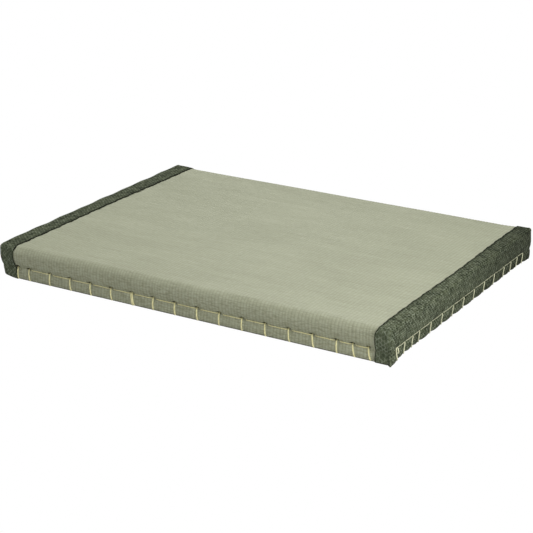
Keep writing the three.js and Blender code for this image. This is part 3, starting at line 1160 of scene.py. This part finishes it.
        # This mask paints light on the turned bands and, on the right strip, shade towards the back.
        wear = self.wear[0] + (self.wear[1] - self.wear[0]) * ease(along, *self.wear_reach)
        write_masks(mesh, crease=crease, flank=1 - np.maximum(facing[:, 2], 0), turned=turned,
                    wear=wear + (self.turned_wear - wear) * turned)
        apply_modifier(piece, "SOLIDIFY", thickness=self.parts.cloth, offset=1.0)
        apply_modifier(piece, "BEVEL", width=self.hem_bevel, segments=2, limit_method="ANGLE",
                       angle_limit=math.radians(SHARP_EDGE))
        piece.data.materials.append(material)
        shade_by_angle(piece, self.sharp_edge)
        return piece


@dataclass(frozen=True)
class Thread:
    """One length of twine that follows a path on a side of the mat."""

    path: Array
    outward: Vector
    width: float
    thickness: float
    look_around: float = 0.01

    def read_path(self, place: Array, lengths: Array) -> Array:
        """The path's points at some lengths along it."""
        return np.column_stack([np.interp(place, lengths, self.path[:, axis]) for axis in range(3)])

    def bend(self, piece: Object) -> None:
        """Moves a straight blank's rings to the path and gives its map real lengths."""
        mesh = piece.data
        points = read_points(mesh)
        lengths = path_lengths(self.path)
        place = np.clip(points[:, 2] + 0.5, 0, 1) * lengths[-1]
        step = lengths[-1] * self.look_around
        ahead, behind = (self.read_path(np.clip(place + way, 0, lengths[-1]), lengths)
                         for way in (step, -step))
        along = unit(ahead - behind)
        sideways = unit(np.cross(along, np.array(self.outward)))
        up = np.cross(sideways, along)
        write_points(mesh, self.read_path(place, lengths) + sideways * points[:, :1] * self.width
                     + up * points[:, 1:2] * self.thickness)
        uv = read_values(mesh.uv_layers[0].data, "uv", 2)
        uv[:, 1] *= 2 * lengths[-1] / (self.width * TWIST_LENGTH)
        write_uv(mesh, uv)


@dataclass
class Sewing:
    """The twine along one side: a short thread down from each stitch and a thin one on to the next."""

    parts: MatParts
    side: Side
    down_width: float
    on_width: float
    flatness: float
    side_lean: Pair = (0.003, 0.0072)
    end_lean: Pair = (0.0, 0.0025)
    end_curve: float = 0.0022
    hole_shift: float = -0.0018
    hole_ends: Triple = (0.0010, -0.0002, 0.0025)
    hem_ends: Triple = (0.0010, 0.0011, 0.004)
    pressed_in: float = 0.0001
    side_gaps: tuple[Pair, ...] = ((0.0028, 0.0022), (0.0056, 0.0050))
    end_gaps: Pair = (0.0004, 0.0004)
    side_drop: float = 0.0004
    on_sag: Pair = (-0.0009, -0.0001)
    on_depth: float = 0.0012
    on_lift: float = 0.35
    on_flatness: float = 0.8
    down_points: int = 12
    on_points: int = 14
    width_chance: Pair = (0.9, 1.1)
    knot_size: Pair = (1.25, 0.9)
    knot_path: tuple[Triple, ...] = (
        (0.0005, 0.0, 0.0), (0.002, 0.002, 0.0016), (0.001, 0.005, 0.0022), (0.0025, 0.008, 0.0014),
        (0.0012, 0.010, 0.0004))
    blank_sides: int = 8
    blank_rings: int = 12
    seed: int = 11

    @property
    def on_long_side(self) -> bool:
        """Whether the row runs along the front or the back."""
        return self.side.axis == 1

    @property
    def outward(self) -> Vector:
        """The way that the side faces."""
        way = Vector((0.0, 0.0, 0.0))
        way[self.side.axis] = self.side.sign
        return way

    def blank(self) -> Object:
        """A straight thread of unit size, ready to be bent."""
        deselect_all()
        bpy.ops.mesh.primitive_cylinder_add(vertices=self.blank_sides, radius=0.5, depth=1.0,
                                            end_fill_type="TRIFAN", calc_uvs=True)
        piece = bpy.context.object
        heights = read_points(piece.data)[read_edges(piece.data)][:, :, 2]
        split_edges(piece, np.abs(np.diff(heights)[:, 0]) > 0.5, self.blank_rings)
        return piece

    def lay(self, along: Array, heights: Array, lifts: Array, width: float, thickness: float) -> Thread:
        """A thread over the side's surface.

        Args:
            along: the places that it passes along the side.
            heights: their heights.
            lifts: how far its middle stands off the surface there.
            width: its width.
            thickness: its thickness.

        Returns:
            The thread.
        """
        path = self.parts.side_surface(along, heights, self.side, lifts)
        return Thread(path, self.outward, width, thickness)

    def down_thread(self, place: float, lean: float, wide: float) -> Thread:
        """The thread from a stitch's hole down the side and under the edge."""
        thickness = self.down_width * self.flatness
        inner, top, hole_depth = self.hole_ends
        under, bottom, hem_depth = self.hem_ends
        share = np.linspace(0, 1, self.down_points)
        heights = (self.parts.form.sewing_height + top) * (1 - share) + bottom * share
        along = place + self.hole_shift + lean * share
        if not self.on_long_side:
            along = along + self.end_curve * np.sin(np.pi * share) * np.sign(lean)
        along = np.pad(along, 1, mode="edge")
        heights = np.pad(heights, 1, constant_values=(self.parts.form.sewing_height + inner, under))
        lifts = np.pad(np.full_like(share, thickness / 2 - self.pressed_in), 1,
                       constant_values=(-hole_depth, -hem_depth))
        return self.lay(along, heights, lifts, self.down_width * wide, thickness)

    def on_thread(self, start: float, end: float, sag: float) -> Thread:
        """The thin thread from one stitch towards the next."""
        share = np.linspace(0, 1, self.on_points)
        level = self.parts.form.sewing_height - self.side_drop * self.on_long_side
        lifts = np.where((share > 0) & (share < 1), self.on_width * self.on_lift, -self.on_depth)
        return self.lay(start + (end - start) * share, level - sag * np.sin(np.pi * share), lifts,
                        self.on_width, self.on_width * self.on_flatness)

    def knot(self, place: float) -> Thread:
        """The small knot that the row at the right end starts from."""
        along, down, lifts = np.array(self.knot_path).T
        return self.lay(place + along, self.parts.form.sewing_height - down, lifts,
                        *(self.down_width * share for share in self.knot_size))

    def threads(self) -> Iterable[Thread]:
        """Every thread of the row, in order."""
        row = (self.parts.side_row if self.on_long_side else self.parts.end_row).places()
        rng = np.random.default_rng(self.seed + list(Side).index(self.side))
        if self.side is Side.RIGHT:
            yield self.knot(row[0])
        for i, place in enumerate(row):
            lean = rng.uniform(*self.side_lean) if self.on_long_side else -rng.uniform(*self.end_lean)
            doubled = DOUBLED_STITCHES.get((self.side, i), 1.0)
            yield self.down_thread(place, lean, doubled * rng.uniform(*self.width_chance))
            if i + 1 == len(row) or (i == 0 and self.on_long_side):
                continue
            gaps = rng.uniform(*self.side_gaps) if self.on_long_side else self.end_gaps
            yield self.on_thread(place + gaps[0], row[i + 1] - gaps[1], rng.uniform(*self.on_sag))

    def build(self, material: Material) -> Object:
        """Builds the row and dresses it.

        Args:
            material: the twine finish.

        Returns:
            The finished piece.
        """
        lengths = []
        for thread in self.threads():
            piece = self.blank()
            thread.bend(piece)
            lengths.append(piece)
        row = join_pieces(lengths, f"twine_{self.side.name.lower()}")
        with editing(row, "FACE", np.ones(len(row.data.polygons))):
            bpy.ops.mesh.normals_make_consistent(inside=False)
        row.data.materials.append(material)
        shade_by_angle(row, SHARP_EDGE)
        return row


@dataclass(frozen=True)
class Lamp:
    """One soft square light that points at the mat."""

    name: str
    place: Triple
    size: float
    power: float

    def add(self) -> None:
        """Adds the light."""
        deselect_all()
        turn = (-Vector(self.place)).to_track_quat("-Z", "Y").to_euler()
        bpy.ops.object.light_add(type="AREA", location=self.place, rotation=turn)
        light = bpy.context.object
        light.name = self.name
        light.data.size = self.size
        light.data.energy = self.power


@dataclass(frozen=True)
class Studio:
    """The pale floor, the lights and the camera."""

    lens: float = 107.26
    sensor: float = 36.0
    camera_place: Triple = (1.4215, -2.3775, 1.0313)
    camera_tilt: float = 69.587
    camera_turn: float = 30.986
    ambient: float = 0.02
    world_colour: Colour = (1.0, 1.0, 1.0)
    floor_size: float = 30.0
    floor_glow: float = 1.0
    floor_colour: Colour = (0.80, 0.80, 0.80)
    lamps: tuple[Lamp, ...] = (
        Lamp("key", (1.5, -1.5, 2.0), 1.2, 27.0),
        Lamp("corner", (1.4, -0.56, 0.65), 0.4, 9.0),
        Lamp("left", (-1.3, -1.8, 1.2), 1.0, 6.5),
        Lamp("above", (0.0, 0.0, 2.4), 2.0, 31.0),
        Lamp("back", (-0.9, 1.7, 1.8), 1.2, 28.0),
    )

    def add_camera(self) -> None:
        """Sets up the camera."""
        deselect_all()
        turn = (math.radians(self.camera_tilt), 0.0, math.radians(self.camera_turn))
        bpy.ops.object.camera_add(location=self.camera_place, rotation=turn)
        camera = bpy.context.object
        camera.data.lens = self.lens
        camera.data.sensor_width = self.sensor
        bpy.context.scene.camera = camera

    def add_world(self) -> None:
        """Gives the surroundings a white that lights the mat only weakly."""
        world = bpy.data.worlds.new("Studio")
        world.use_nodes = True
        graph = Graph(world.node_tree)
        seen = graph.add("ShaderNodeLightPath")["Is Camera Ray"]
        graph.feed(world.node_tree.nodes["Background"].inputs, {
            "Color": rgba(self.world_colour), "Strength": graph.spread(seen, 0.0, 1.0, self.ambient, 1.0)})
        bpy.context.scene.world = world

    def add_floor(self) -> Object:
        """Lays the floor."""
        deselect_all()
        bpy.ops.mesh.primitive_plane_add(size=self.floor_size)
        floor = bpy.context.object
        floor.name = floor.data.name = "floor"
        material, graph, shader = start_material("Pale floor")
        graph.feed(shader.inputs, {"Base Color": rgba(self.floor_colour), "Roughness": 1.0,
                                   "Specular IOR Level": 0.0})
        glow = graph.add("ShaderNodeEmission", {"Strength": self.floor_glow})[0]
        seen = graph.add("ShaderNodeLightPath")["Is Camera Ray"]
        blend = graph.add("ShaderNodeMixShader", {0: seen, 1: shader.outputs[0], 2: glow})[0]
        graph.feed(material.node_tree.nodes["Material Output"].inputs, {"Surface": blend})
        floor.data.materials.append(material)
        return floor

    def build(self) -> None:
        """Sets up the whole studio."""
        self.add_camera()
        for lamp in self.lamps:
            lamp.add()
        self.add_world()
        self.add_floor()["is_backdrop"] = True
        bpy.context.scene.view_settings.view_transform = "Standard"


def build_mat(effects: Effects) -> None:
    """Builds every piece of the mat and attaches each one to the root body."""
    parts = MatParts()
    rush = RushFinish().build(effects)
    border = BorderFinish().build(effects)
    straw = TwineFinish("Straw twine", (0.86, 0.82, 0.47), (0.63, 0.59, 0.29)).build(effects)
    pale_straw = TwineFinish("Pale twine", (0.74, 0.74, 0.52), (0.50, 0.50, 0.32)).build(effects)

    cover = RushCover(parts).build(rush)
    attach(cover, "root")
    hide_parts("rush_body")
    LOG.info("%s: %d faces", cover.name, len(cover.data.polygons))

    left = BorderCloth(parts, Side.LEFT, width=0.036, widening=0.005,
                       bands=((-0.004, 0.003), (0.0, 0.002)), seam_ripple=0.0008)
    right = BorderCloth(parts, Side.RIGHT, width=0.0245, widening=0.003,
                        bands=((0.0045, 0.004), (0.0, 0.004)), seam_ripple=0.0006,
                        wear=(0.50, 0.17), turned_wear=0.88)
    for strip, flat in ((left, (0.70, 0.100)), (right, (0.70, 0.088))):
        cloth = strip.build(border)
        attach(cloth, "root")
        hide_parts(f"border_{strip.side.name.lower()}")
        LOG.info("%s: %d faces", cloth.name, len(cloth.data.polygons))

    for side in Side:
        if side.axis == 1:
            sewing, twine = Sewing(parts, side, down_width=0.0032, on_width=0.0016, flatness=0.45), straw
        else:
            sewing, twine = Sewing(parts, side, down_width=0.0023, on_width=0.0011, flatness=0.7), pale_straw
        row = sewing.build(twine)
        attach(row, "root")
        LOG.info("%s: %d faces", row.name, len(row.data.polygons))


def main() -> None:
    """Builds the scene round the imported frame."""
    logging.basicConfig(level=logging.INFO, format="%(name)s: %(message)s")
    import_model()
    cad_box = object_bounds()
    Studio().build()
    build_mat(Effects())
    bpy.context.view_layer.update()
    boxes = {"cad": cad_box, "visual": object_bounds()}
    {key: [[float(v) for v in corner] for corner in box] for key, box in boxes.items()}
    LOG.info("sizes: %s", boxes)


if __name__ == "__main__":
    main()
